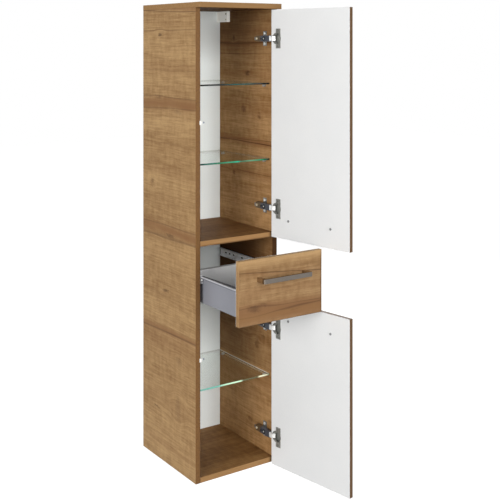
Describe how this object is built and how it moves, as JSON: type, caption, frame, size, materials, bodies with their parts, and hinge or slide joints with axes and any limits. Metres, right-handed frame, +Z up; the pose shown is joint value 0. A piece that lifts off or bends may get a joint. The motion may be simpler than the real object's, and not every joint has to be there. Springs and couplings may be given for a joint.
{
  "type": "bathroom cabinet",
  "caption": "Tall narrow wall-hung cabinet with hinged doors above and below a drawer, glass shelves and bar handles.",
  "frame": {"origin": "middle of the lower rear edge, on the wall plane", "axes": "+X to the right seen from the front, +Y towards the wall, +Z up"},
  "size_m": [0.3586, 0.6077, 1.41],
  "materials": {
    "oak": "brown oak decor, grain across, matt",
    "facing": "white melamine, matt",
    "back_board": "white faced hardboard",
    "dowel": "fluted beech, raw",
    "shelf_glass": "clear float glass, ground edges",
    "support": "light plastic on a steel stud",
    "white_plastic": "white moulded",
    "galvanised": "zinc plated",
    "hinge_steel": "nickel plated",
    "screw_steel": "nickel plated",
    "handle_metal": "satin grey",
    "drawer_steel": "grey powder coat",
    "drawer_board": "light grey faced board",
    "nylon": "white nylon",
    "buffer": "white soft plastic"
  },
  "bodies": {
    "carcass": {"side_panel_left": "oak", "side_panel_right": "oak", "top_board": "oak", "bottom_board": "oak", "mid_shelf": "oak", "back_panel": "back_board", "panel_dowels": "dowel", "glass_shelf_top": "shelf_glass", "glass_shelf_middle": "shelf_glass", "glass_shelf_lower": "shelf_glass", "shelf_supports": "support", "hanger_housings": "white_plastic", "hanger_hooks": "galvanised", "hanger_screws": "galvanised", "hinge_plates": "hinge_steel", "hinge_plate_screws": "screw_steel", "hinge_arms": "hinge_steel", "hinge_arm_screws": "screw_steel", "hinge_arm_pins": "hinge_steel", "rail_left": "galvanised", "rail_right": "galvanised", "rail_screws": "screw_steel", "rail_axles": "galvanised", "door_buffers": "buffer"},
    "upper_links": {"hinge_links_upper": "hinge_steel"},
    "lower_links": {"hinge_links_lower": "hinge_steel"},
    "upper_door": {"door_upper": "oak", "door_upper_facing": "facing", "hinge_cups_upper": "hinge_steel", "cup_pins_upper": "hinge_steel", "cup_screws_upper": "screw_steel", "handle_upper": "handle_metal", "handle_screws_upper": "screw_steel"},
    "lower_door": {"door_lower": "oak", "door_lower_facing": "facing", "hinge_cups_lower": "hinge_steel", "cup_pins_lower": "hinge_steel", "cup_screws_lower": "screw_steel", "handle_lower": "handle_metal", "handle_screws_lower": "screw_steel"},
    "drawer": {"drawer_front": "oak", "drawer_front_facing": "facing", "drawer_side_left": "drawer_steel", "drawer_side_right": "drawer_steel", "drawer_brackets": "drawer_steel", "drawer_bottom": "drawer_board", "drawer_back": "drawer_board", "drawer_screws": "screw_steel", "drawer_axles": "galvanised", "handle_drawer": "handle_metal", "handle_screws_drawer": "screw_steel"},
    "front_roller_l": {"front_roller_left": "nylon"},
    "front_roller_r": {"front_roller_right": "nylon"},
    "rear_roller_l": {"rear_roller_left": "nylon"},
    "rear_roller_r": {"rear_roller_right": "nylon"}
  },
  "joints": [
    {"name": "upper_link_turn", "type": "hinge", "parent": "carcass", "child": "upper_links", "pos_m": [0.12, -0.3105, 1.044], "axis": [0, 0, 1], "range_deg": [-3.6, 71.1]},
    {"name": "upper_door_turn", "type": "hinge", "parent": "upper_links", "child": "upper_door", "pos_m": [0.12554, -0.32657, 1.044], "axis": [0, 0, 1], "range_deg": [-171, 8.5]},
    {"name": "lower_link_turn", "type": "hinge", "parent": "carcass", "child": "lower_links", "pos_m": [0.12, -0.3105, 0.2535], "axis": [0, 0, 1], "range_deg": [-3.6, 71.1]},
    {"name": "lower_door_turn", "type": "hinge", "parent": "lower_links", "child": "lower_door", "pos_m": [0.12554, -0.32657, 0.2535], "axis": [0, 0, 1], "range_deg": [-171, 8.5]},
    {"name": "drawer_slide", "type": "slide", "parent": "carcass", "child": "drawer", "axis": [0, -1, 0], "range_m": [-0.1945, 0.0275]},
    {"name": "front_roller_l_spin", "type": "hinge", "parent": "carcass", "child": "front_roller_l", "pos_m": [-0.127, -0.298, 0.5957], "axis": [1, 0, 0], "range_deg": [-1487, 211]},
    {"name": "rear_roller_l_spin", "type": "hinge", "parent": "drawer", "child": "rear_roller_l", "pos_m": [-0.127, -0.2345, 0.5953], "axis": [1, 0, 0], "range_deg": [-1115, 159]},
    {"name": "front_roller_r_spin", "type": "hinge", "parent": "carcass", "child": "front_roller_r", "pos_m": [0.127, -0.298, 0.5957], "axis": [1, 0, 0], "range_deg": [-1487, 211]},
    {"name": "rear_roller_r_spin", "type": "hinge", "parent": "drawer", "child": "rear_roller_r", "pos_m": [0.127, -0.2345, 0.5953], "axis": [1, 0, 0], "range_deg": [-1115, 159]}
  ],
  "couplings": [
    {"joint": "upper_link_turn", "follows": "upper_door_turn", "ratio": -0.4152},
    {"joint": "lower_link_turn", "follows": "lower_door_turn", "ratio": -0.4152},
    {"joint": "front_roller_l_spin", "follows": "drawer_slide", "rad_per_m": 133.33},
    {"joint": "rear_roller_l_spin", "follows": "drawer_slide", "rad_per_m": 100},
    {"joint": "front_roller_r_spin", "follows": "drawer_slide", "rad_per_m": 133.33},
    {"joint": "rear_roller_r_spin", "follows": "drawer_slide", "rad_per_m": 100}
  ]
}
